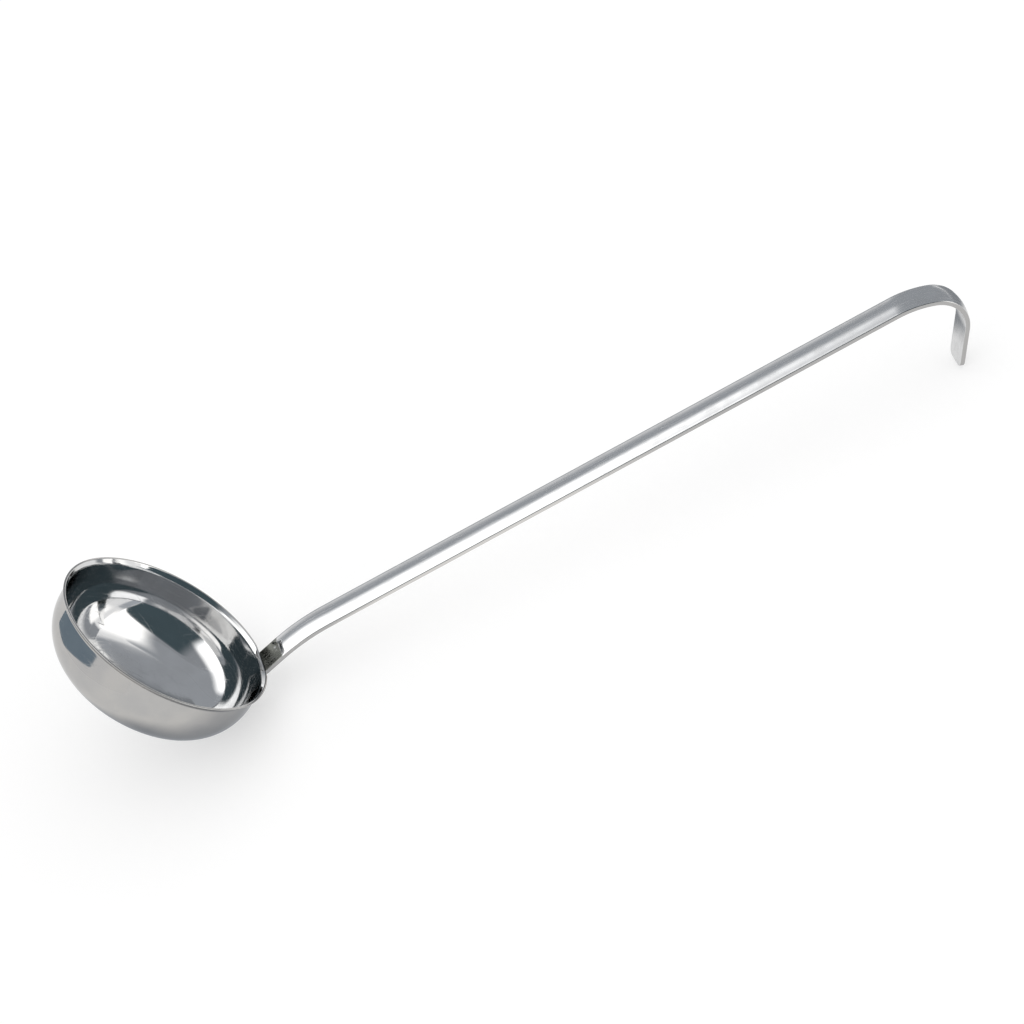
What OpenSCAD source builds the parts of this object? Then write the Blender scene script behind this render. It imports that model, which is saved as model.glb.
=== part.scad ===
// Sauce ladle: a drawn bowl with a turned-out rim, and a crowned strip handle with a hook.
// It lies as it comes to rest, on the back of the handle's foot and on the end of the hook.
// Both pieces are drawn in the ladle's own frame: Z is the bowl's axis, Z = 0 is the rim plane,
// and the handle stands on the bowl's +X side. lay_down() then tips that frame over to rest.

/* [Bowl] */
// Outer diameter over the turned-out rim
rim_d = 100; // [88:1:122]
// Depth from the rim plane to the underside
bowl_depth = 37; // [33:0.5:48]
// Thickness of the bowl's sheet
sheet = 1; // [0.6:0.1:1.4]
// How far the rim turns out past the wall
lip_out = 1.6; // [1:0.1:2.2]
// Height of the turned-out rim
lip_h = 2.2; // [1.8:0.1:3]
// Slope of the wall, in degrees from the bowl's axis
wall_taper = 2; // [1:0.5:5]
// Outer radius between the wall and the bottom
corner_r = 25; // [20:0.5:26]
// Outer radius of the domed bottom
bottom_r = 105; // [90:5:300]

/* [Handle strip] */
// Width of the strip
strip_w = 13.3; // [11:0.1:16]
// Thickness of the strip at its shoulders
strip_t = 2.2; // [1.6:0.1:3]
// Height of the crown on the front face
crown_h = 0.7; // [0.3:0.1:1]
// Flat shoulder on each side of the crown
shoulder = 0.3; // [0.1:0.1:1]
// Rounding of the strip's long edges
edge_r = 0.4; // [0.2:0.05:0.7]
// Corner radius at both ends of the strip
end_r = 3.3; // [1:0.1:5]

/* [Handle shape] */
// How far the foot reaches round the bowl's corner, in degrees
foot_wrap = 46; // [43:1:55]
// Gap between the foot and the bowl's wall
weld_gap = 0.1; // [0.1:0.05:0.3]
// Front radius of the bend where the strip leaves the wall
foot_bend_r = 6; // [4:0.5:9]
// Lean of the flat tongue above the rim, in degrees from the bowl's axis
tongue_lean = 18; // [16:0.5:21]
// Length of the tongue between the two lower bends
tongue_l = 10.5; // [9:0.5:16]
// Front radius of the neck bend
neck_r = 89; // [50:1:130]
// Lean of the long handle, in degrees from the bowl's axis
handle_lean = 34.1; // [30:0.1:38]
// Length of the straight handle
handle_l = 282; // [200:1:360]

/* [Coined patch] */
// Length above the rim at the far side, where the crown is pressed flat
coin_far = 6.6; // [5:0.1:8]
// Length above the rim at the dip beside the patch's point
coin_dip = 8.5; // [6:0.1:9.5]
// Length above the rim at the patch's point
coin_point = 11.5; // [10:0.1:13]
// Length above the rim at the near side
coin_near = 10.8; // [8:0.1:12]
// Distance of the patch's point from the middle of the strip
coin_offset = 2; // [0:0.1:3]
// Distance of the dip from the patch's point, across the strip
coin_dip_side = 1.5; // [0.5:0.1:2]

/* [Hook] */
// Outer radius of the hook's wide bend
hook_wide_r = 43.7; // [35:0.1:55]
// Angle of the wide bend
hook_wide_a = 24; // [18:1:30]
// Outer radius of the hook's tight bend
hook_tight_r = 16.5; // [12:0.1:20]
// Angle of the tight bend
hook_tight_a = 94.4; // [88:0.2:100]
// Length of the straight end of the hook
hook_end_l = 20.9; // [14:0.1:28]

/* [Spot welds] */
// Diameter of the electrode marks on the back of the foot
weld_d = 5; // [3:0.5:6]
// Depth of the electrode marks
weld_depth = 0.25; // [0.1:0.05:0.4]
// Distance of the upper mark below the rim plane
weld_drop = 6.3; // [5.5:0.1:7]
// Place of the lower mark, in degrees round the bowl's corner
weld_wrap = 22; // [18:1:26]

/* [Hidden] */
$fn = 120;

steel = "silver";
arc_step = 3;
crown_steps = 12;
edge_steps = 2;
past = 1;
coin_sink = 0.02;
press_start = 0.06;
dish_steps = 2;

// Directions in the ladle's side view, as [away from the bowl's axis, along it].
// A lean of 0 runs along the axis, and the front of the strip faces the axis.
function along(lean) = [sin(lean), cos(lean)];
function front(lean) = [-cos(lean), sin(lean)];
function steps(angle) = max(1, ceil(abs(angle) / arc_step));
function last(list) = list[len(list) - 1];

// The corner's centre: one corner_r inside the wall, and one bottom_r less corner_r from the dome's centre
rim_r = rim_d / 2;
knee = [rim_r - lip_out, -lip_h];
dome_z = bottom_r - bowl_depth;
dome_reach = bottom_r - corner_r;
slope = tan(wall_taper);
start_x = knee[0] + lip_h * slope - corner_r / cos(wall_taper);
half_b = dome_z - start_x * slope;
root = sqrt(half_b * half_b - (1 + slope * slope) * (start_x * start_x + dome_z * dome_z - dome_reach * dome_reach));
corner_z = (half_b - root) / (1 + slope * slope);
corner_x = start_x + corner_z * slope;
corner = [corner_x, corner_z];
bottom_a = asin(corner_x / dome_reach);
function on_corner(a, radius) = corner + radius * [cos(a), -sin(a)];

// Where the wall turns into the rim, on a surface that lies inset inside the outer one
lip_lean = atan2(lip_out, lip_h);
knee_slide = tan((lip_lean - wall_taper) / 2);
function knee_at(inset) = knee + inset * (front(wall_taper) + knee_slide * along(wall_taper));
function lip_at(inset, z) = [knee_at(inset)[0] + (z - knee_at(inset)[1]) * tan(lip_lean), z];

// Half outline of the bowl's inside or outside, from the axis at the top round to the axis below
function outline(inset, top) = concat(
    [[0, top], lip_at(inset, top), knee_at(inset)],
    [for (i = [0:steps(90)])
        on_corner(wall_taper + (90 - bottom_a - wall_taper) * i / steps(90), corner_r - inset)],
    [for (i = [1:steps(bottom_a)])
        let (a = bottom_a * (1 - i / steps(bottom_a)))
        [0, dome_z] + (bottom_r - inset) * [sin(a), -cos(a)]]
);

// The strip's bends turn away from the bowl's axis, with their centre behind the strip
function bend(start, lean, radius, turn) = [
    for (i = [1:steps(turn)])
        let (now = lean + turn * i / steps(turn))
        [start + radius * (front(now) - front(lean)), now]
];
function straight(from, length) = [from[0] + length * along(from[1]), from[1]];

// Front face of the strip in side view, as [point, lean], from the foot's end to the hook's end
seat_r = corner_r + weld_gap;
foot = [for (i = [0:steps(foot_wrap)])
    let (a = foot_wrap + (wall_taper - foot_wrap) * i / steps(foot_wrap))
    [on_corner(a, seat_r), a]];
leave = [knee - weld_gap * front(wall_taper), wall_taper];
foot_bend = bend(leave[0], leave[1], foot_bend_r, tongue_lean - wall_taper);
tongue_start = last(foot_bend);
tongue_end = straight(tongue_start, tongue_l);
neck = bend(tongue_end[0], tongue_lean, neck_r, handle_lean - tongue_lean);
handle_end = straight(last(neck), handle_l);
hook_wide = bend(handle_end[0], handle_lean, hook_wide_r, hook_wide_a);
hook_tight = bend(last(hook_wide)[0], last(hook_wide)[1], hook_tight_r, hook_tight_a);
hook_end = straight(last(hook_tight), hook_end_l);

// Rings of the strip, as [point, lean, crown, dish]: the crown starts at the tongue, where the patch
// is pressed flat again, and the foot is dished to the bowl's round wall
function plain(path) = [for (p = path) [p[0], p[1], 1, 0]];
rings = concat(
    [for (p = concat(foot, [leave])) [p[0], p[1], 0, 1]],
    [for (i = [0:len(foot_bend) - 1]) [foot_bend[i][0], foot_bend[i][1], 0, max(0, 1 - (i + 1) / dish_steps)]],
    plain([straight(tongue_start, edge_r), tongue_end]),
    plain(neck),
    plain([handle_end]),
    plain(hook_wide),
    plain(hook_tight),
    plain([hook_end])
);

// Cross-section of the strip, as [across, towards the front], with the shoulders at 0
half_w = strip_w / 2;
crown_c = half_w - edge_r - shoulder;
crown_r = (crown_c * crown_c + crown_h * crown_h) / (2 * crown_h);
crown_a = asin(crown_c / crown_r);
function edge(y, h, from) = [for (i = [0:edge_steps])
    let (a = from + 90 * i / edge_steps)
    [y + edge_r * cos(a), h + edge_r * sin(a)]];
function section(crown) = concat(
    [for (i = [0:crown_steps])
        let (a = crown_a * (1 - 2 * i / crown_steps))
        [crown_r * sin(a), crown * (crown_r * cos(a) - crown_r + crown_h)]],
    edge(edge_r - half_w, -edge_r, 90),
    edge(edge_r - half_w, edge_r - strip_t, 180),
    edge(half_w - edge_r, edge_r - strip_t, 270),
    edge(half_w - edge_r, -edge_r, 0)
);

// How far a round wall falls back, at y to the side of its nearest line, from a flat one
function sag(ring, y) =
    let (r = ring[0][0] / cos(ring[1]))
    ring[3] * (r - sqrt(r * r - y * y));
function place(ring, y, h) =
    let (p = ring[0] + (h + sag(ring, y)) * front(ring[1]))
    [p[0], y, p[1]];

module strip() {
    n = len(section(1));
    end = len(rings) * n;
    walls = [for (j = [0:len(rings) - 2], k = [0:n - 1])
        let (a = j * n + k, b = j * n + (k + 1) % n)
        each [[a, b, b + n], [a, b + n, a + n]]];
    foot_cap = [for (k = [0:n - 1]) [end, (k + 1) % n, k]];
    hook_cap = [for (k = [0:n - 1]) [end + 1, end - n + k, end - n + (k + 1) % n]];
    middles = [for (ring = [rings[0], last(rings)]) place(ring, 0, -strip_t / 2)];
    points = concat([for (ring = rings, s = section(ring[2])) place(ring, s[0], s[1])], middles);
    polyhedron(points, concat(walls, foot_cap, hook_cap));
}

// Puts its children on the strip's front face, with Z along the strip and X to its back
module on_strip(at) {
    translate([at[0][0], 0, at[0][1]]) rotate([0, at[1], 0]) children();
}

// Everything outside the rounded corners of an end of the strip, which lies at Z = 0
module end_corners(way) {
    through = 2 * strip_t;
    for (side = [-1, 1])
        translate([0, side * (half_w - end_r), -way * end_r])
            difference() {
                translate([0, side * (end_r + past) / 2, way * (end_r + past) / 2])
                    cube([2 * through, end_r + past, end_r + past], center = true);
                rotate([0, 90, 0]) cylinder(r = end_r, h = 2 * through + past, center = true);
            }
}

// The pressed-flat patch in plan, measured from the rim plane up the tongue
module coined_patch() {
    below = -tongue_start[0][1] / cos(tongue_lean);
    wide = half_w + past;
    on_strip(tongue_start)
        translate([coin_sink, 0, below])
            rotate([0, -90, 0])
                linear_extrude(height = crown_h + past)
                    polygon([
                        [-below, -wide],
                        [coin_near, -wide],
                        [coin_point, coin_offset],
                        [coin_dip, coin_offset + coin_dip_side],
                        [coin_far, half_w],
                        [coin_far, wide],
                        [-below, wide]
                    ]);
}

module weld_mark(at) {
    on_strip(at)
        translate([strip_t - weld_depth, 0, 0])
            rotate([0, 90, 0]) cylinder(d = weld_d, h = weld_depth + past);
}

module handle() {
    upper_mark = straight(leave, -(leave[0][1] + weld_drop) / cos(wall_taper));
    color(steel)
        difference() {
            strip();
            coined_patch();
            on_strip(hook_end) end_corners(1);
            on_strip(foot[0]) end_corners(-1);
            weld_mark(upper_mark);
            weld_mark([on_corner(weld_wrap, seat_r), weld_wrap]);
        }
}

// What the tongue presses out of the rim: all that lies behind a surface inset inside the strip's seat
module press(inset) {
    bend_r = foot_bend_r + weld_gap + inset;
    start = knee_at(inset) + press_start * along(wall_taper);
    curve = bend(start, wall_taper, bend_r, tongue_lean - wall_taper);
    top = straight(last(curve), lip_h + past)[0];
    rotate([90, 0, 0])
        linear_extrude(height = rim_r, center = true)
            polygon(concat([start], [for (p = curve) p[0]], [top, [rim_d, top[1]], [rim_d, start[1]]]));
}

module bowl() {
    color(steel)
        difference() {
            rotate_extrude() polygon(outline(0, 0));
            press(0);
            difference() {
                rotate_extrude() polygon(outline(sheet, past));
                press(sheet);
            }
        }
}

// At rest a line touches the round back of the foot and the crown's end on the hook
foot_back_r = seat_r + strip_t;
hook_tip = hook_end[0] + crown_h * front(hook_end[1]);
span = hook_tip - corner;
rest_tilt = atan2(span[1], span[0]) - acos(foot_back_r / norm(span)) + 90;
function level_x(p) = p[0] * cos(rest_tilt) + p[1] * sin(rest_tilt);
function level_z(p) = p[1] * cos(rest_tilt) - p[0] * sin(rest_tilt);
floor_z = level_z(corner) - foot_back_r;
bowl_end_x = level_x([-corner_x, corner_z]) - corner_r;
hook_bend_c = last(hook_wide)[0] - hook_tight_r * front(last(hook_wide)[1]);
hook_end_x = level_x(hook_bend_c) + hook_tight_r + crown_h;

// Tips the ladle to rest, with the origin on the floor under the middle of its box
module lay_down() {
    translate([-(bowl_end_x + hook_end_x) / 2, 0, -floor_z]) rotate([0, rest_tilt, 0]) children();
}

lay_down() bowl();
lay_down() handle();
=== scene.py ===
import math

import bpy
import numpy as np
from mathutils import Matrix, Vector


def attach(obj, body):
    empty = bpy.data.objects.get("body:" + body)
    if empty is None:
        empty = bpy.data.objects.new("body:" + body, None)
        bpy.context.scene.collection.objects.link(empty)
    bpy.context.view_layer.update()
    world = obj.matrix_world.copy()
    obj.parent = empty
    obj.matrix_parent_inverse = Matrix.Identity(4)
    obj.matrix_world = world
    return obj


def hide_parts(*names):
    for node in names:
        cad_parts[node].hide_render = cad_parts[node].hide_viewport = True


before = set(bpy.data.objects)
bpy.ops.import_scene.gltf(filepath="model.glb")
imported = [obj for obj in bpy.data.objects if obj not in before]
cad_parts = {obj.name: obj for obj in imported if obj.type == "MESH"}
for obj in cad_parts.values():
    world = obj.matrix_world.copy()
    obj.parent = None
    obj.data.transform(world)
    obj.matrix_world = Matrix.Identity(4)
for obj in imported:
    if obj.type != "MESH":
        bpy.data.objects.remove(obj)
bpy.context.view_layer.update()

# Shape
# Sizes in millimetres and degrees, as in part.scad, in the ladle's own frame:
# Z is the bowl's axis, Z = 0 is the rim plane, and the handle is on the +X side.
RIM_R = 50.0
BOWL_DEPTH = 37.0
SHEET = 1.0
LIP_OUT = 1.6
LIP_H = 2.2
WALL_TAPER = 2.0
CORNER_R = 25.0
BOTTOM_R = 105.0
STRIP_W = 13.3
STRIP_T = 2.2
CROWN_H = 0.7
SHOULDER = 0.3
EDGE_R = 0.4
END_R = 3.3
FOOT_WRAP = 46.0
WELD_GAP = 0.1
FOOT_BEND_R = 6.0
TONGUE_LEAN = 18.0
TONGUE_L = 10.5
NECK_R = 89.0
HANDLE_LEAN = 34.1
HANDLE_L = 282.0
HOOK_WIDE_R = 43.7
HOOK_WIDE_A = 24.0
HOOK_TIGHT_R = 16.5
HOOK_TIGHT_A = 94.4
HOOK_END_L = 20.9
WELD_R = 2.5
WELD_DEPTH = 0.25
WELD_DROP = 6.3
WELD_WRAP = 22.0

# How the ladle lies at rest: tipped about Y, then shifted
REST_TILT = 51.3208
REST_SHIFT = (-164.433, 0.0, 50.7399)

# Finer form than the solids have
KNEE_R = 1.5
RIM_EDGE_R = 0.22
PRESS_SOFT = 0.25
PRESS_RISE = 0.6
COIN_STEP = 0.6
COIN_EDGE = {-6.65: 10.8, 2.0: 11.5, 3.5: 8.5, 6.65: 6.6}

# Where an electrode's mark starts to rise, and over how much, as shares of its radius
WELD_FLAT = 0.8
WELD_SLOPE = 0.3

# How finely the bowl is drawn: steps along its profile, degrees round it on both sides
# of the handle, where the rim is pressed flat, and steps round the rest of it
DOME_STEPS = 24
CORNER_STEPS = 56
WALL_STEPS = 12
KNEE_STEPS = 8
LIP_STEPS = 5
RIM_STEPS = 5
PRESSED_A = 18
PRESSED_TURN = 0.4
PLAIN_TURNS = 240

# How finely the strip is drawn: millimetres along it, steps across it, and degrees
# round its edges and its end corners
FOOT_STEP = 0.35
FOOT_BEND_STEP = 0.2
TONGUE_STEP = 0.25
WIDE_BEND_STEP = 0.8
HANDLE_STEP = 3.0
TIGHT_BEND_STEP = 0.5
LENGTH_DIGITS = 6
ACROSS_STEPS = 36
EDGE_TURN = 15
END_CORNER_FROM = 30
END_CORNER_TURN = 4

MM = 0.001
PERCENT = 100


def along(lean):
    """Direction of a line that leans away from the bowl's axis, as (x, z)."""
    a = math.radians(lean)
    return np.array([math.sin(a), math.cos(a)])


def front(lean):
    """Direction that the strip's front face looks in, as (x, z)."""
    a = math.radians(lean)
    return np.array([-math.cos(a), math.sin(a)])


def arc(centre, radius, start, stop, count):
    """Points of an arc in the XZ plane, with its angles from +X towards +Z."""
    angles = np.radians(np.linspace(start, stop, count + 1))
    ring = np.stack([np.cos(angles), np.sin(angles)], axis=1)
    return np.asarray(centre) + radius * ring


def line(start, stop, count):
    """Points of a straight line, both ends left out."""
    share = np.linspace(0, 1, count + 2)[1:-1, None]
    return np.asarray(start) * (1 - share) + np.asarray(stop) * share


def smoothstep(t):
    """Smooth change from 0 to 1 while t goes from 0 to 1."""
    t = np.clip(t, 0, 1)
    return t * t * (3 - 2 * t)


# Where the wall turns into the rim, how far the rim leans, and the dome's centre
KNEE = np.array([RIM_R - LIP_OUT, -LIP_H])
LIP_LEAN = math.degrees(math.atan2(LIP_OUT, LIP_H))
DOME = np.array([0, BOTTOM_R - BOWL_DEPTH])


def corner_centre():
    """One corner radius inside the wall, and inside the dome's circle."""
    reach = BOTTOM_R - CORNER_R
    slope = math.tan(math.radians(WALL_TAPER))
    start_x = KNEE[0] + LIP_H * slope - CORNER_R / math.cos(math.radians(WALL_TAPER))
    half_b = DOME[1] - start_x * slope
    square = 1 + slope * slope
    root = math.sqrt(half_b**2 - square * (start_x**2 + DOME[1] ** 2 - reach**2))
    z = (half_b - root) / square
    return np.array([start_x + z * slope, z])


CORNER = corner_centre()
BOTTOM_A = math.degrees(math.asin(CORNER[0] / (BOTTOM_R - CORNER_R)))


def knee_arc(inset, count):
    """The bend between wall and rim, on the surface that lies inset inside the sheet."""
    half_turn = (LIP_LEAN - WALL_TAPER) / 2
    middle = (LIP_LEAN + WALL_TAPER) / 2
    centre = KNEE - front(middle) * KNEE_R / math.cos(math.radians(half_turn))
    return arc(centre, KNEE_R + inset, 180 - WALL_TAPER, 180 - LIP_LEAN, count)


def rim_edge(count):
    """The rim's flat top with its two rounded edges, from outside to inside."""
    flat = SHEET / math.cos(math.radians(LIP_LEAN))
    points = []
    for x, start, stop in ((RIM_R, -LIP_LEAN, 90), (RIM_R - flat, 90, 180 - LIP_LEAN)):
        half = math.radians(stop - start) / 2
        inwards = -1 if x == RIM_R else 1
        centre = (x + inwards * RIM_EDGE_R * math.tan(half), -RIM_EDGE_R)
        points.append(arc(centre, RIM_EDGE_R, start, stop, count))
    return np.concatenate(points)


def bowl_side(inset):
    """Half profile of one side of the sheet, from the axis up to the rim's edge."""
    foot_a = -90 + BOTTOM_A
    dome = arc(DOME, BOTTOM_R - inset, -90, foot_a, DOME_STEPS)
    corner = arc(CORNER, CORNER_R - inset, foot_a, -WALL_TAPER, CORNER_STEPS)
    knee = knee_arc(inset, KNEE_STEPS)
    wall = line(corner[-1], knee[0], WALL_STEPS)
    return np.concatenate([dome, corner[1:], wall, knee])


def bowl_profile():
    """Whole closed profile, with each point's depth in the sheet from the outside."""
    outside, inside, edge = bowl_side(0), bowl_side(SHEET), rim_edge(RIM_STEPS)
    up = line(outside[-1], edge[0], LIP_STEPS)
    down = line(edge[-1], inside[-1], LIP_STEPS)
    points = np.concatenate([outside, up, edge, down, inside[::-1]])
    share = np.linspace(0, 1, len(edge))
    before = np.zeros(len(outside) + len(up))
    after = np.full(len(down) + len(inside), SHEET)
    depth = np.concatenate([before, share * SHEET, after])
    return points, depth


def press_limit(z, depth):
    """How far out the rim may reach where the tongue has pressed it flat."""
    bend_r = FOOT_BEND_R + WELD_GAP + depth
    centre = KNEE - (FOOT_BEND_R + WELD_GAP) * front(WALL_TAPER)
    rise = np.clip((z - centre[1]) / bend_r, -1, math.sin(math.radians(TONGUE_LEAN)))
    lean = np.arcsin(rise)
    x = centre[0] - bend_r * np.cos(lean)
    above = np.maximum(z - centre[1] - bend_r * rise, 0)
    return x + above * math.tan(math.radians(TONGUE_LEAN))


def turn_angles():
    """Angles round the bowl, closer together where the rim is pressed flat."""
    fine = np.arange(-PRESSED_A, PRESSED_A, PRESSED_TURN)
    coarse = np.linspace(PRESSED_A, 360 - PRESSED_A, PLAIN_TURNS + 1)[:-1]
    return np.concatenate([fine, coarse])


def bowl_mesh():
    """Vertices and faces of the bowl in its own frame."""
    profile, depth = bowl_profile()
    angles = np.radians(turn_angles())
    x = profile[1:-1, 0] * np.cos(angles)[:, None]
    y = profile[1:-1, 0] * np.sin(angles)[:, None]
    z = np.broadcast_to(profile[1:-1, 1], x.shape)
    limit = press_limit(z, depth[1:-1])
    pressed = (x + limit - np.sqrt((x - limit) ** 2 + PRESS_SOFT**2)) / 2
    knee_z = KNEE[1] - depth[1:-1] * math.sin(math.radians(WALL_TAPER))
    share = smoothstep((z - knee_z) / PRESS_RISE) * (x > 0)
    x = x + share * (pressed - x)
    vertices = np.stack([x, y, z], axis=2).reshape(-1, 3)
    columns, rows = len(angles), len(profile) - 2
    poles = len(vertices) + np.array([0, 1])
    vertices = np.concatenate([vertices, [[0, 0, profile[0, 1]], [0, 0, profile[-1, 1]]]])
    faces = []
    for i in range(columns):
        a, b = i * rows, (i + 1) % columns * rows
        faces += [(a + k, b + k, b + k + 1, a + k + 1) for k in range(rows - 1)]
        faces.append((poles[0], b, a))
        faces.append((poles[1], a + rows - 1, b + rows - 1))
    return vertices, faces


# Strip
HALF_W = STRIP_W / 2
CROWN_C = HALF_W - EDGE_R - SHOULDER
CROWN_R = (CROWN_C**2 + CROWN_H**2) / (2 * CROWN_H)
SEAT_R = CORNER_R + WELD_GAP


def strip_pieces():
    """The strip from foot to hook, as (length, turn, distance between its stations)."""
    wall = np.linalg.norm(KNEE - CORNER - CORNER_R * -front(WALL_TAPER))
    turns = (
        (SEAT_R, -(FOOT_WRAP - WALL_TAPER), FOOT_STEP),
        (wall, 0, FOOT_STEP),
        (FOOT_BEND_R, TONGUE_LEAN - WALL_TAPER, FOOT_BEND_STEP),
        (TONGUE_L, 0, TONGUE_STEP),
        (NECK_R, HANDLE_LEAN - TONGUE_LEAN, WIDE_BEND_STEP),
        (HANDLE_L, 0, HANDLE_STEP),
        (HOOK_WIDE_R, HOOK_WIDE_A, WIDE_BEND_STEP),
        (HOOK_TIGHT_R, HOOK_TIGHT_A, TIGHT_BEND_STEP),
        (HOOK_END_L, 0, WIDE_BEND_STEP),
    )
    return [
        (size * math.radians(abs(turn)) if turn else size, turn, step)
        for size, turn, step in turns
    ]


def quarter(start, turn):
    """Angles from a start up to a right angle, a turn apart, in radians."""
    return np.radians(np.arange(start, 90 + turn / 2, turn))


def end_steps():
    """Distances from an end at which its rounding has stations."""
    edge = EDGE_R * (1 - np.cos(quarter(0, EDGE_TURN)))
    corner = END_R * (1 - np.cos(quarter(END_CORNER_FROM, END_CORNER_TURN)))
    return np.concatenate([edge, corner[corner > EDGE_R]])


def stations():
    """Length, point, lean and dish of each station on the strip's front face."""
    pieces = strip_pieces()
    total = sum(p[0] for p in pieces)
    lengths, start = [], 0
    for length, _, step in pieces:
        lengths.append(np.linspace(start, start + length, math.ceil(length / step) + 1))
        start += length
    lengths = np.concatenate(lengths)
    lengths = lengths[(lengths > END_R) & (lengths < total - END_R)]
    lengths = np.concatenate([end_steps(), lengths, total - end_steps()])
    lengths = np.unique(np.round(lengths, LENGTH_DIGITS))
    points, leans = [], []
    point = CORNER - SEAT_R * front(FOOT_WRAP)
    lean, start, k = FOOT_WRAP, 0, 0
    for length, turn, _ in pieces:
        while k < len(lengths) and lengths[k] <= start + length + 10**-LENGTH_DIGITS:
            now = lean + turn * (lengths[k] - start) / length
            leans.append(now)
            points.append(move(point, lean, now, lengths[k] - start, turn, length))
            k += 1
        point = move(point, lean, lean + turn, length, turn, length)
        start += length
        lean += turn
    dish_end = pieces[0][0] + pieces[1][0]
    dish = 1 - smoothstep((lengths - dish_end) / pieces[2][0])
    return lengths, np.array(points), np.array(leans), dish


def move(point, lean, now, distance, turn, length):
    """The point this far along a straight or round piece of the strip."""
    if turn == 0:
        return point + distance * along(lean)
    radius = length / math.radians(turn)
    return point + radius * (front(now) - front(lean))


def across():
    """Places across the strip, closer together on its rounded edges."""
    edge = HALF_W - EDGE_R * (1 - np.sin(quarter(0, EDGE_TURN)))
    middle = np.linspace(-(HALF_W - EDGE_R), HALF_W - EDGE_R, ACROSS_STEPS + 1)[1:-1]
    return np.concatenate([-edge[::-1], middle, edge])


def outline_distance(to_end, y):
    """Distance of a place on the strip to its outline, which has round corners."""
    side = np.abs(y) - (HALF_W - END_R)
    plain = np.minimum(to_end, HALF_W - np.abs(y))
    corner = END_R - np.hypot(END_R - to_end, side)
    return np.where((to_end < END_R) & (side > 0), corner, plain)


def rounding(distance):
    """How far the face has dropped this far from the outline."""
    inside = np.clip(EDGE_R - distance, 0, EDGE_R)
    return EDGE_R - np.sqrt(EDGE_R**2 - inside**2)


def crown(y):
    """Height of the crowned face above its edges."""
    arch = np.sqrt(np.maximum(CROWN_R**2 - y**2, 0)) - CROWN_R + CROWN_H
    return np.maximum(arch, 0)


def weld_dent(lengths, y, middle):
    """Depth of an electrode's mark round the place middle along the strip."""
    away = np.hypot(lengths - middle, y)
    return WELD_DEPTH * (1 - smoothstep((away - WELD_FLAT * WELD_R) / (WELD_SLOPE * WELD_R)))


def strip_mesh():
    """Vertices and faces of the strip in the ladle's own frame."""
    lengths, points, leans, dish = stations()
    pieces = strip_pieces()
    total = lengths[-1]
    to_end = np.minimum(lengths, total - lengths)
    inside = np.clip(END_R - to_end, 0, END_R)
    half = HALF_W - END_R + np.sqrt(END_R**2 - inside**2)
    y = half[:, None] * across() / HALF_W
    s, d = lengths[:, None], to_end[:, None]
    drop = rounding(np.maximum(outline_distance(d, y), 0))

    tongue = sum(p[0] for p in pieces[:3])
    above_rim = points[np.searchsorted(lengths, tongue)][1]
    rim_s = tongue - above_rim / math.cos(math.radians(TONGUE_LEAN))
    edge = np.interp(y, list(COIN_EDGE), list(COIN_EDGE.values()))
    raised = smoothstep((s - rim_s - edge) / COIN_STEP + 0.5)
    top = crown(y) * raised - drop

    upper = pieces[0][0] + pieces[1][0] - (WELD_DROP - LIP_H)
    lower = SEAT_R * math.radians(FOOT_WRAP - WELD_WRAP)
    dents = weld_dent(s, y, upper) + weld_dent(s, y, lower)
    back = -STRIP_T + drop + dents

    radius = (points[:, 0] / np.cos(np.radians(leans)))[:, None]
    sag = dish[:, None] * (radius - np.sqrt(radius**2 - y**2))
    out = np.stack([front(lean) for lean in leans])
    sheets = []
    for height in (top, back):
        x = points[:, :1] + (height + sag) * out[:, :1]
        z = points[:, 1:] + (height + sag) * out[:, 1:]
        sheets.append(np.stack([x, y, z], axis=2))
    rows, columns = y.shape
    vertices = np.concatenate([sheet.reshape(-1, 3) for sheet in sheets])
    return vertices, strip_faces(rows, columns)


def strip_faces(rows, columns):
    """Faces of the strip's front, back, sides and ends."""
    behind = rows * columns
    faces = []
    for i in range(rows - 1):
        for k in range(columns - 1):
            a = i * columns + k
            b = a + columns
            faces.append((a, a + 1, b + 1, b))
            faces.append((behind + a, behind + b, behind + b + 1, behind + a + 1))
        a, b = i * columns, (i + 1) * columns
        faces.append((a, b, behind + b, behind + a))
        a, b = a + columns - 1, b + columns - 1
        faces.append((a, behind + a, behind + b, b))
    for k in range(columns - 1):
        a, b = k, (rows - 1) * columns + k
        faces.append((a, behind + a, behind + a + 1, a + 1))
        faces.append((b, b + 1, behind + b + 1, behind + b))
    return faces


# Pieces
def lay_down(vertices):
    """Vertices in metres, tipped and shifted the way the ladle lies at rest."""
    a = math.radians(REST_TILT)
    x, y, z = vertices.T
    tipped = [x * math.cos(a) + z * math.sin(a), y, z * math.cos(a) - x * math.sin(a)]
    return (np.stack(tipped, axis=1) + REST_SHIFT) * MM


def add_piece(name, mesh_data, node):
    """A smooth piece that stands for a CAD node and rides on its body."""
    vertices, faces = mesh_data
    corners = [[int(k) for k in face] for face in faces]
    mesh = bpy.data.meshes.new(name)
    mesh.from_pydata(lay_down(vertices).tolist(), [], corners)
    mesh.validate()
    mesh.shade_smooth()
    piece = bpy.data.objects.new(name, mesh)
    bpy.context.scene.collection.objects.link(piece)
    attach(piece, "root")
    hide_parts(node)
    return piece


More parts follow.
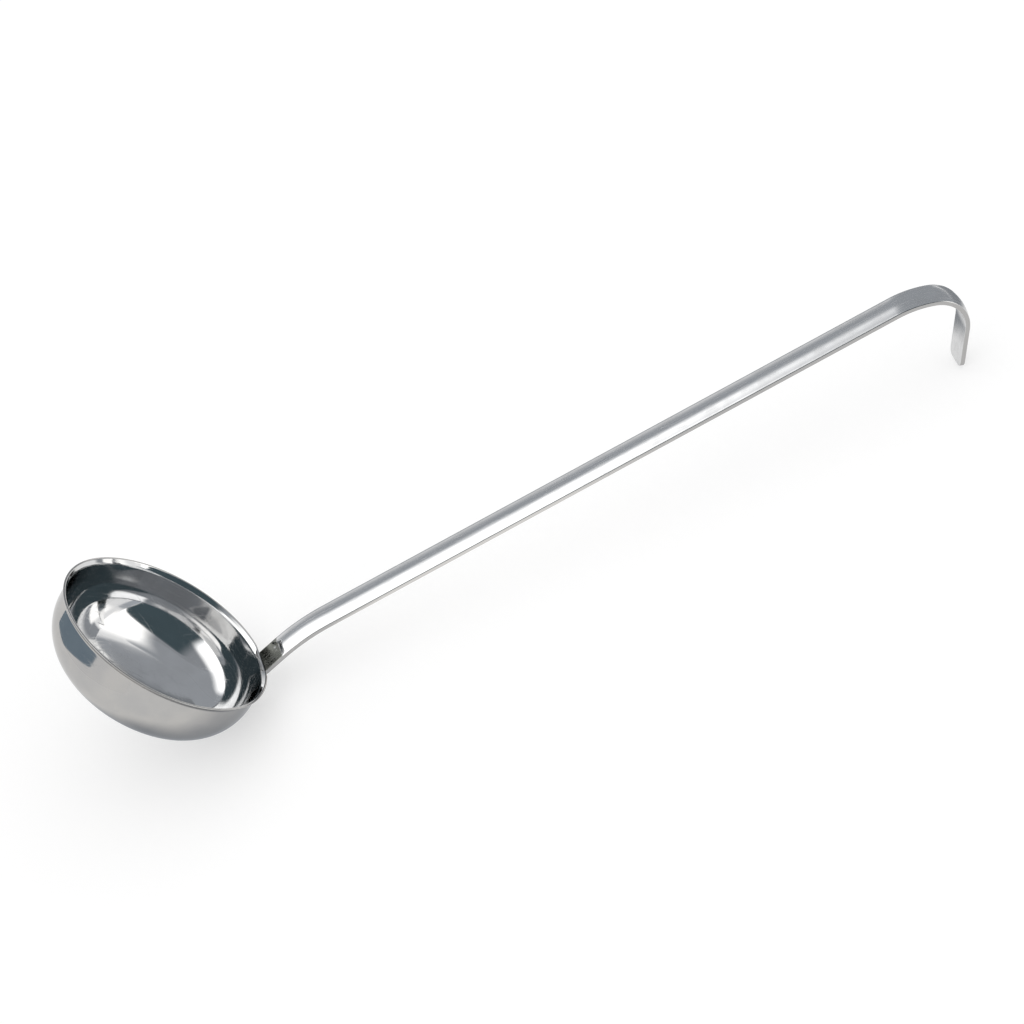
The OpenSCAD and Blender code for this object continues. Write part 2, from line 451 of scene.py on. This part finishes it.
# Materials
class Nodes:
    """Adds nodes to a material's tree and links them."""

    def __init__(self, material):
        material.use_nodes = True
        self.tree = material.node_tree

    def add(self, kind, inputs=(), **settings):
        """A node of a kind, with values or links for its inputs, and its settings."""
        node = self.tree.nodes.new(kind)
        for name, value in settings.items():
            setattr(node, name, value)
        for name, value in dict(inputs).items():
            self.feed(node.inputs[name], value)
        return node

    def feed(self, socket, value):
        """Links an output to a socket, or sets the socket to a plain value."""
        if isinstance(value, bpy.types.NodeSocket):
            self.tree.links.new(value, socket)
        else:
            socket.default_value = value

    def math(self, operation, *values):
        """The result of a sum or other operation on plain values or outputs."""
        node = self.add("ShaderNodeMath", operation=operation)
        for socket, value in zip(node.inputs, values):
            self.feed(socket, value)
        return node.outputs[0]

    def ramp(self, value, low, high, out_low=0.0, out_high=1.0):
        """Smooth change from out_low to out_high while the value goes from low to high."""
        inputs = {
            "Value": value,
            "From Min": low,
            "From Max": high,
            "To Min": out_low,
            "To Max": out_high,
        }
        node = self.add("ShaderNodeMapRange", inputs, interpolation_type="SMOOTHSTEP")
        return node.outputs[0]

    def noise(self, place, detail, scale=1.0):
        """Soft noise with so many finer layers, of a scale in turns per unit of the place."""
        inputs = {"Vector": place, "Scale": scale, "Detail": detail}
        return self.add("ShaderNodeTexNoise", inputs).outputs[0]

    def own_place(self):
        """Place in the ladle's own frame, in millimetres."""
        inputs = {
            "Vector": self.add("ShaderNodeTexCoord").outputs["Object"],
            "Location": [c * MM for c in REST_SHIFT],
            "Rotation": (0, math.radians(REST_TILT), 0),
            "Scale": (MM, MM, MM),
        }
        return self.add("ShaderNodeMapping", inputs, vector_type="TEXTURE").outputs[0]


# The steel's colours, with the one that it turns to at a grazing angle
STEEL = (0.70, 0.702, 0.704, 1)
STEEL_WORN = (0.65, 0.65, 0.65, 1)
# The bowl's outside is painted darker than its inside: painted shade that darkens the reflections
# on the outer wall
OUTSIDE_PAINTED_SHADE = (0.475, 0.465, 0.45, 1)
OUTSIDE_WORN_PAINTED_SHADE = (0.43, 0.425, 0.42, 1)
# The coined patch is painted dark: a painted dark reflection
COINED_PAINTED_REFLECTION = (0.19, 0.195, 0.175, 1)
# The strip's sides are painted darker: painted shade that dims their reflections
SIDES_PAINTED_SHADE = (0.43, 0.425, 0.42, 1)
STEEL_GRAZING = (0.86, 0.86, 0.86, 1)

# Relief in metres, and how much rougher a scratch is
SCRATCH_DEEP = 0.0000010
SCRATCH_ROUGH = 0.16
RIPPLE_DEEP = 0.00002

# Finer layers in a noise, and the part of a cloud over which the roughness changes
LINE_DETAIL = 1.0
BRUSH_DETAIL = 2.0
CLOUD_DETAIL = 4.0
CLOUD_RANGE = (0.30, 0.72)

# The bowl's texture. A size is in millimetres round the bowl and up its side, with a twist
# in degrees per millimetre. A range is where in its noise a mark begins and is full.
SPIN_SIZE = (18.0, 0.9)
SPIN_RANGE = (0.52, 0.75)
SPIN_SHARE = 0.5
HAIR_UP_SIZE = (0.9, 16.0, 1.1)
HAIR_UP_RANGE = (0.66, 0.76)
HAIR_DOWN_SIZE = (1.0, 13.0, -1.6)
HAIR_DOWN_RANGE = (0.67, 0.77)
BOWL_CLOUD = 0.07
BOWL_RIPPLE = 0.05
BOWL_WORN_RANGE = (0.35, 0.70)
BOWL_ROUGH = (0.03, 0.08)
OUTSIDE_SOFT = 0.002

# The handle's texture. A size is in millimetres across and along the strip, with a slant.
# The coined patch, where a dark reflection is painted, and the satin end lie at heights above the
# rim plane, in millimetres.
BRUSH_SIZE = (0.5, 60.0)
BRUSH_RANGE = (0.50, 0.74)
HAIR_SIZE = (0.6, 14.0, 0.12)
HAIR_RANGE = (0.64, 0.74)
HANDLE_CLOUD = 0.16
HANDLE_RIPPLE = 0.06
HANDLE_WORN_RANGE = (0.38, 0.70)
HANDLE_ROUGH = (0.09, 0.17)
SATIN_HEIGHTS = (190.0, 245.0)
SATIN_ROUGH = (0.0, 0.05)
COINED_FROM = -1.5
COINED_TO = 9.0
COINED_SOFT = 1.0
BLOTCH = 0.3
BLOTCH_RANGE = (0.05, 0.40)
SIDEWAYS_RANGE = (0.55, 0.85)


def steel(name):
    """Bare stainless steel in a material of its own, with its nodes and its shader."""
    material = bpy.data.materials.new(name)
    nodes = Nodes(material)
    shader = nodes.tree.nodes["Principled BSDF"]
    shader.inputs["Metallic"].default_value = 1
    shader.inputs["Specular Tint"].default_value = STEEL_GRAZING
    return material, nodes, shader


# A colour mix has its two colours and its result at these places of its sockets
MIX_FIRST = 6
MIX_SECOND = 7
MIX_RESULT = 2


def blend(nodes, share, first, second):
    """A colour that goes from the first to the second with the share."""
    node = nodes.add("ShaderNodeMix", data_type="RGBA")
    for index, value in ((0, share), (MIX_FIRST, first), (MIX_SECOND, second)):
        nodes.feed(node.inputs[index], value)
    return node.outputs[MIX_RESULT]


def outside_share(nodes):
    """1 on the bowl's outside and 0 inside it, from which way the surface faces."""
    middle = lay_down(np.array([[0, 0, -BOWL_DEPTH / 2]]))[0].tolist()
    place = nodes.add("ShaderNodeTexCoord")
    away = nodes.add("ShaderNodeVectorMath", operation="SUBTRACT")
    nodes.feed(away.inputs[0], place.outputs["Object"])
    nodes.feed(away.inputs[1], middle)
    facing = nodes.add("ShaderNodeVectorMath", operation="DOT_PRODUCT")
    nodes.feed(facing.inputs[0], away.outputs[0])
    nodes.feed(facing.inputs[1], place.outputs["Normal"])
    return nodes.ramp(facing.outputs["Value"], -OUTSIDE_SOFT, OUTSIDE_SOFT)


def finish(nodes, shader, roughness, scratches, ripple):
    """Roughness with scratches in it, and both kinds of relief."""
    rough = nodes.math("MULTIPLY_ADD", scratches, SCRATCH_ROUGH, roughness)
    nodes.feed(shader.inputs["Roughness"], rough)
    wave = nodes.add("ShaderNodeBump", {"Height": ripple, "Distance": RIPPLE_DEEP, "Strength": 1.0})
    inputs = {
        "Height": scratches,
        "Distance": SCRATCH_DEEP,
        "Strength": 1.0,
        "Normal": wave.outputs[0],
    }
    cut = nodes.add("ShaderNodeBump", inputs)
    nodes.feed(shader.inputs["Normal"], cut.outputs[0])


def round_the_bowl(nodes, place, across, along_side, twist=0.0):
    """Place round the bowl's axis with no seam: turns over across, the side over along_side.

    A twist, in degrees per millimetre up the side, makes lines that run aslant.
    """
    split = nodes.add("ShaderNodeSeparateXYZ", {"Vector": place})
    level = nodes.add("ShaderNodeCombineXYZ", {"X": split.outputs["X"], "Y": split.outputs["Y"]})
    length = nodes.add("ShaderNodeVectorMath", operation="LENGTH")
    nodes.feed(length.inputs[0], level.outputs[0])
    radius = length.outputs["Value"]
    side = nodes.math("ADD", radius, split.outputs["Z"])
    unit = nodes.add("ShaderNodeVectorMath", operation="NORMALIZE")
    nodes.feed(unit.inputs[0], level.outputs[0])
    inputs = {"Vector": unit.outputs[0], "Angle": nodes.math("MULTIPLY", side, math.radians(twist))}
    turned = nodes.add("ShaderNodeVectorRotate", inputs, rotation_type="Z_AXIS")
    wide = nodes.add("ShaderNodeVectorMath", operation="SCALE")
    nodes.feed(wide.inputs["Vector"], turned.outputs[0])
    nodes.feed(wide.inputs["Scale"], RIM_R / across)
    lift = nodes.add("ShaderNodeCombineXYZ", {"Z": nodes.math("DIVIDE", side, along_side)})
    both = nodes.add("ShaderNodeVectorMath", operation="ADD")
    nodes.feed(both.inputs[0], wide.outputs[0])
    nodes.feed(both.inputs[1], lift.outputs[0])
    return both.outputs[0]


def bowl_steel():
    """Polished in the round, with hair scratches from stirring and wiping."""
    material, nodes, shader = steel("bowl_steel")
    place = nodes.own_place()
    spin = nodes.noise(round_the_bowl(nodes, place, *SPIN_SIZE), LINE_DETAIL)
    spin = nodes.ramp(spin, *SPIN_RANGE)
    up = nodes.noise(round_the_bowl(nodes, place, *HAIR_UP_SIZE), LINE_DETAIL)
    down = nodes.noise(round_the_bowl(nodes, place, *HAIR_DOWN_SIZE), LINE_DETAIL)
    up = nodes.ramp(up, *HAIR_UP_RANGE)
    down = nodes.ramp(down, *HAIR_DOWN_RANGE)
    hairs = nodes.math("MAXIMUM", up, down)
    scratches = nodes.math("MAXIMUM", nodes.math("MULTIPLY", spin, SPIN_SHARE), hairs)
    cloud = nodes.noise(place, CLOUD_DETAIL, BOWL_CLOUD)
    worn = nodes.ramp(cloud, *BOWL_WORN_RANGE)
    ripple = nodes.noise(place, LINE_DETAIL, BOWL_RIPPLE)
    inside = blend(nodes, worn, STEEL, STEEL_WORN)
    # The outside's darker colours are painted shade
    outside = blend(nodes, worn, OUTSIDE_PAINTED_SHADE, OUTSIDE_WORN_PAINTED_SHADE)
    colour = blend(nodes, outside_share(nodes), inside, outside)
    nodes.feed(shader.inputs["Base Color"], colour)
    finish(nodes, shader, nodes.ramp(cloud, *CLOUD_RANGE, *BOWL_ROUGH), scratches, ripple)
    return material


def along_the_strip(nodes, split, across, along_strip, slant=0.0):
    """Place drawn out along the strip, which bends in the XZ plane only."""
    run = nodes.math("ADD", split.outputs["X"], split.outputs["Z"])
    aside = nodes.math("MULTIPLY_ADD", run, slant, split.outputs["Y"])
    inputs = {
        "Y": nodes.math("DIVIDE", aside, across),
        "Z": nodes.math("DIVIDE", run, along_strip),
    }
    return nodes.add("ShaderNodeCombineXYZ", inputs).outputs[0]


def coined_reflection_share(nodes, place, height):
    """Up to 1 on the coined patch just past the rim, unevenly, where a dark reflection is painted,
    and 0 elsewhere.
    """
    blotch = nodes.ramp(nodes.noise(place, BRUSH_DETAIL, BLOTCH), *BLOTCH_RANGE)
    low = nodes.ramp(height, COINED_FROM - COINED_SOFT, COINED_FROM)
    low = nodes.math("MULTIPLY", low, nodes.ramp(height, COINED_TO + COINED_SOFT, COINED_TO))
    return nodes.math("MULTIPLY", blotch, low)


def side_shade_share(nodes):
    """1 on the strip's sheared sides, which face along Y and get painted shade, and 0 elsewhere."""
    facing = nodes.add("ShaderNodeTexCoord").outputs["Normal"]
    sideways = nodes.add("ShaderNodeSeparateXYZ", {"Vector": facing}).outputs["Y"]
    return nodes.ramp(nodes.math("ABSOLUTE", sideways), *SIDEWAYS_RANGE)


def handle_steel():
    """Polished strip with scratches along it, more satin towards the hook."""
    material, nodes, shader = steel("handle_steel")
    place = nodes.own_place()
    split = nodes.add("ShaderNodeSeparateXYZ", {"Vector": place})
    height = split.outputs["Z"]
    brushed = nodes.noise(along_the_strip(nodes, split, *BRUSH_SIZE), BRUSH_DETAIL)
    brushed = nodes.ramp(brushed, *BRUSH_RANGE)
    hairs = nodes.noise(along_the_strip(nodes, split, *HAIR_SIZE), LINE_DETAIL)
    scratches = nodes.math("MAXIMUM", brushed, nodes.ramp(hairs, *HAIR_RANGE))
    cloud = nodes.noise(place, CLOUD_DETAIL, HANDLE_CLOUD)
    ripple = nodes.noise(place, LINE_DETAIL, HANDLE_RIPPLE)
    colour = blend(nodes, nodes.ramp(cloud, *HANDLE_WORN_RANGE), STEEL, STEEL_WORN)
    # Painted dark reflection on the coined patch
    colour = blend(nodes, coined_reflection_share(nodes, place, height), colour, COINED_PAINTED_REFLECTION)
    # Painted shade on the strip's sides
    colour = blend(nodes, side_shade_share(nodes), colour, SIDES_PAINTED_SHADE)
    nodes.feed(shader.inputs["Base Color"], colour)
    polish = nodes.ramp(cloud, *CLOUD_RANGE, *HANDLE_ROUGH)
    satin = nodes.ramp(height, *SATIN_HEIGHTS, *SATIN_ROUGH)
    finish(nodes, shader, nodes.math("ADD", polish, satin), scratches, ripple)
    return material


bowl = add_piece("ladle_bowl", bowl_mesh(), "bowl")
bowl.data.materials.append(bowl_steel())
handle = add_piece("ladle_handle", strip_mesh(), "handle")
handle.data.materials.append(handle_steel())


# Camera, placed as the photograph's own
EYE = Vector((0.04161, -1.39438, 1.21513))
RIGHT = Vector((0.906004, -0.255632, -0.337355))
UP = Vector((0.422456, 0.595487, 0.683320))
LENS = 147.27
SENSOR = 36


def add_camera():
    """The scene's camera."""
    camera_data = bpy.data.cameras.new("camera")
    camera_data.lens = LENS
    camera_data.sensor_width = SENSOR
    camera = bpy.data.objects.new("camera", camera_data)
    bpy.context.scene.collection.objects.link(camera)
    axes = Matrix((RIGHT, UP, RIGHT.cross(UP))).transposed()
    camera.matrix_world = Matrix.Translation(EYE) @ axes.to_4x4()
    bpy.context.scene.camera = camera


add_camera()

# Studio
# A direction is an azimuth, from +Y towards +X, and an elevation, in degrees.
CARD_R = 5.0
CARD_STEPS = 24
CORNER_POWER = 5.0
CORNER_FADE = (1.1, 0.8)

# Places on the floor, in metres: its half width, its height, the point from which a pool or
# a shade spreads, and the share of the floor's depth at which each of them lies
FLOOR_HALF = 6.0
FLOOR_Z = -0.0002
FLOOR_FROM = -0.13
POOL_LIFT = 0.25
SHADE_LIFT = 0.5

FLOOR_COLOUR = (0.58, 0.58, 0.58, 1)
FLOOR_GLOW = 0.45
WHITE = (1, 1, 1)
WARM = (1.0, 0.99, 0.97)
COOL = (0.93, 0.98, 1.05)
BLUE = (0.78, 1.0, 1.21)
DARK = (0.70, 1.0, 1.15)


def only_reflected(obj):
    """Seen in the steel and nowhere else, and casts no shadow."""
    obj.visible_camera = False
    obj.visible_diffuse = False
    obj.visible_shadow = False
    obj.visible_transmission = False
    obj.visible_volume_scatter = False


def off_middle(nodes, share):
    """How far a share lies from the middle, to the power that rounds the corners."""
    doubled = nodes.math("MULTIPLY_ADD", share, 2.0, -1.0)
    return nodes.math("POWER", nodes.math("ABSOLUTE", doubled), CORNER_POWER)


def card_material(name, strength, tint, soft):
    """Shines evenly, with round corners, and fades out towards each of its four edges."""
    material = bpy.data.materials.new(name)
    nodes = Nodes(material)
    nodes.tree.nodes.remove(nodes.tree.nodes["Principled BSDF"])
    place = nodes.add("ShaderNodeTexCoord").outputs["UV"]
    split = nodes.add("ShaderNodeSeparateXYZ", {"Vector": place})
    u, v = split.outputs["X"], split.outputs["Y"]
    left, right, bottom, top = soft
    share = nodes.ramp(u, 0.0, left)
    share = nodes.math("MULTIPLY", share, nodes.ramp(u, 1.0, 1.0 - right))
    share = nodes.math("MULTIPLY", share, nodes.ramp(v, 0.0, bottom))
    share = nodes.math("MULTIPLY", share, nodes.ramp(v, 1.0, 1.0 - top))
    corner = nodes.math("ADD", off_middle(nodes, u), off_middle(nodes, v))
    share = nodes.math("MULTIPLY", share, nodes.ramp(corner, *CORNER_FADE))
    glow = nodes.add("ShaderNodeEmission", {"Color": (*tint, 1), "Strength": strength})
    clear = nodes.add("ShaderNodeBsdfTransparent")
    mixed = nodes.add("ShaderNodeMixShader", {0: share, 1: clear.outputs[0], 2: glow.outputs[0]})
    nodes.feed(nodes.tree.nodes["Material Output"].inputs["Surface"], mixed.outputs[0])
    material.cycles.emission_sampling = "NONE"
    return material


def direction(azimuth, elevation):
    """Unit vector towards an azimuth and an elevation."""
    a, e = math.radians(azimuth), math.radians(elevation)
    return np.array([math.sin(a) * math.cos(e), math.cos(a) * math.cos(e), math.sin(e)])


def share_grid():
    """Shares across and up a card, at each point of its grid."""
    shares = np.linspace(0, 1, CARD_STEPS + 1)
    up, across = np.meshgrid(shares, shares, indexing="ij")
    return across, up


def card(name, centre, span, soft, strength, roll=0, tint=WHITE, distance=CARD_R):
    """A curved card round the ladle, of so many degrees across and up about its middle.

    The soft edges are in degrees too: left, right, bottom and top, as the ladle sees it.
    """
    away = direction(*centre)
    a, r = math.radians(centre[0]), math.radians(roll)
    level = np.array([math.cos(a), -math.sin(a), 0])
    above = np.cross(level, away)
    side = level * math.cos(r) + above * math.sin(r)
    top = above * math.cos(r) - level * math.sin(r)
    u, v = share_grid()
    across, tall = np.radians((u - 0.5) * span[0]), np.radians((v - 0.5) * span[1])
    points = (
        away * (np.cos(tall) * np.cos(across))[..., None]
        + side * (np.cos(tall) * np.sin(across))[..., None]
        + top * np.sin(tall)[..., None]
    ).reshape(-1, 3) * distance
    add_card(name, points, (u, v), span, soft, strength, tint)


def add_card(name, points, shares, span, soft, strength, tint):
    """A card from a square grid of points, and each point's share across and up."""
    row = CARD_STEPS + 1
    faces = []
    for i in range(CARD_STEPS):
        for k in range(CARD_STEPS):
            first = i * row + k
            faces.append((first, first + 1, first + row + 1, first + row))
    mesh = bpy.data.meshes.new(name)
    mesh.from_pydata(points.tolist(), [], faces)
    layer = mesh.uv_layers.new(name="share")
    flat_u, flat_v = shares[0].ravel(), shares[1].ravel()
    for loop in mesh.loops:
        layer.data[loop.index].uv = (flat_u[loop.vertex_index], flat_v[loop.vertex_index])
    edges = (soft[0] / span[0], soft[1] / span[0], soft[2] / span[1], soft[3] / span[1])
    mesh.materials.append(card_material(name, strength, tint, edges))
    obj = bpy.data.objects.new(name, mesh)
    bpy.context.scene.collection.objects.link(obj)
    only_reflected(obj)


def floor_card(name, azimuths, reaches, soft, strength, tint=COOL, lift=SHADE_LIFT):
    """A card that lies on the floor, between two azimuths and two distances in metres.

    Its soft edges are in degrees at its sides, and in percent of its reach at its ends.
    """
    u, v = share_grid()
    a = np.radians(azimuths[0] + u * (azimuths[1] - azimuths[0]))
    reach = reaches[0] * (reaches[1] / reaches[0]) ** v
    low = np.full(u.size, FLOOR_Z * lift)
    spread = [FLOOR_FROM + (np.sin(a) * reach).ravel(), (np.cos(a) * reach).ravel(), low]
    span = (azimuths[1] - azimuths[0], PERCENT)
    add_card(name, np.stack(spread, axis=1), (u, v), span, soft, strength, tint)


def under_card(name, middle, size, soft, strength, tint=COOL):
    """A square card that lies on the floor under the bowl, with its sizes in metres."""
    u, v = share_grid()
    low = np.full(u.size, FLOOR_Z * SHADE_LIFT)
    x = middle[0] + (u.ravel() - 0.5) * size
    y = middle[1] + (v.ravel() - 0.5) * size
    points = np.stack([x, y, low], axis=1)
    add_card(name, points, (u, v), (size, size), (soft,) * 4, strength, tint)


def add_pale_cards():
    """Dim walls behind the ladle and above it, which the bowl's bottom and the handle mirror."""
    card(
        "ceiling_card", centre=(90, 64), span=(120, 66), soft=(8, 8, 10, 8),
        strength=0.35, tint=COOL, distance=5.5,
    )
    card(
        "back_card", centre=(21, 57), roll=4, span=(124, 44), soft=(6, 8, 6, 2),
        strength=0.40, tint=COOL, distance=5.4,
    )
    card(
        "back_low_card", centre=(40, 13), roll=16, span=(68, 74), soft=(5, 12, 4, 3),
        strength=0.40, tint=COOL, distance=5.3,
    )
    card(
        "far_corner_card", centre=(-15, 25), roll=16, span=(50, 38), soft=(6, 8, 24, 6),
        strength=0.42, tint=COOL, distance=5.35,
    )


def add_boxes():
    """Two lit boxes, mirrored as the white spot in the bowl and the bright neck of the handle."""
    card(
        "right_box", centre=(110, 9), roll=5, span=(68, 70), soft=(22, 3, 2, 22),
        strength=1.9, tint=WARM, distance=5.2,
    )
    card(
        "overhead_box", centre=(-84, 58), roll=-4, span=(98, 62), soft=(12, 13, 14, 14),
        strength=1.95, distance=5.1,
    )


def add_flags():
    """Two dark flags, mirrored as the dark ellipse in the bowl and the patch outside it."""
    card(
        "front_flag", centre=(168, 39), roll=-8, span=(70, 81), soft=(5, 4, 3, 14),
        strength=0.095, tint=DARK,
    )
    card(
        "left_flag", centre=(-64, 19), roll=-28, span=(74, 31), soft=(2, 2, 2, 2),
        strength=0.34, tint=BLUE,
    )


def add_floor_cards():
    """Bright pools on the floor to the right, and shades beside, before and under the bowl."""
    floor_card(
        "near_pool", azimuths=(73, 136), reaches=(0.02, 0.24), soft=(6, 14, 4, 22),
        strength=1.5, tint=WARM, lift=POOL_LIFT,
    )
    floor_card(
        "far_pool", azimuths=(86, 132), reaches=(0.5, 4.9), soft=(3, 8, 10, 1),
        strength=1.6, tint=WARM, lift=POOL_LIFT,
    )
    floor_card(
        "right_shade", azimuths=(50, 86), reaches=(0.02, 3.5), soft=(14, 4, 4, 3), strength=0.34
    )
    floor_card(
        "front_shade", azimuths=(133, 176), reaches=(0.18, 4.9), soft=(8, 6, 12, 1), strength=0.50
    )
    under_card("under_shade", middle=(-0.19, -0.01), size=0.15, soft=0.055, strength=0.49)


def floor_material():
    """Matt and pale, and white to the camera and in reflections."""
    material = bpy.data.materials.new("floor")
    nodes = Nodes(material)
    nodes.tree.nodes.remove(nodes.tree.nodes["Principled BSDF"])
    path = nodes.add("ShaderNodeLightPath")
    seen = nodes.math("MAXIMUM", path.outputs["Is Camera Ray"], path.outputs["Is Glossy Ray"])
    seen = nodes.math("MAXIMUM", seen, path.outputs["Is Transmission Ray"])
    matt = nodes.add("ShaderNodeBsdfDiffuse", {"Color": FLOOR_COLOUR})
    glow = nodes.add("ShaderNodeEmission", {"Strength": nodes.math("MULTIPLY", seen, FLOOR_GLOW)})
    both = nodes.add("ShaderNodeAddShader", {0: matt.outputs[0], 1: glow.outputs[0]})
    nodes.feed(nodes.tree.nodes["Material Output"].inputs["Surface"], both.outputs[0])
    material.cycles.emission_sampling = "NONE"
    return material


def add_floor():
    """The plain floor, a hair below the ladle."""
    corners = [(-1, -1), (1, -1), (1, 1), (-1, 1)]
    floor_mesh = bpy.data.meshes.new("floor")
    spread = [(x * FLOOR_HALF, y * FLOOR_HALF, 0) for x, y in corners]
    floor_mesh.from_pydata(spread, [], [(0, 1, 2, 3)])
    floor_mesh.materials.append(floor_material())
    floor = bpy.data.objects.new("floor", floor_mesh)
    floor.location.z = FLOOR_Z
    bpy.context.scene.collection.objects.link(floor)


def add_world():
    """Even white light from all round."""
    world = bpy.data.worlds.new("world")
    bpy.context.scene.world = world
    world.use_nodes = True
    world.node_tree.nodes["Background"].inputs["Color"].default_value = (*WHITE, 1)


add_pale_cards()
add_boxes()
add_flags()
add_floor_cards()
add_floor()
add_world()
bpy.context.scene.view_settings.view_transform = "Standard"
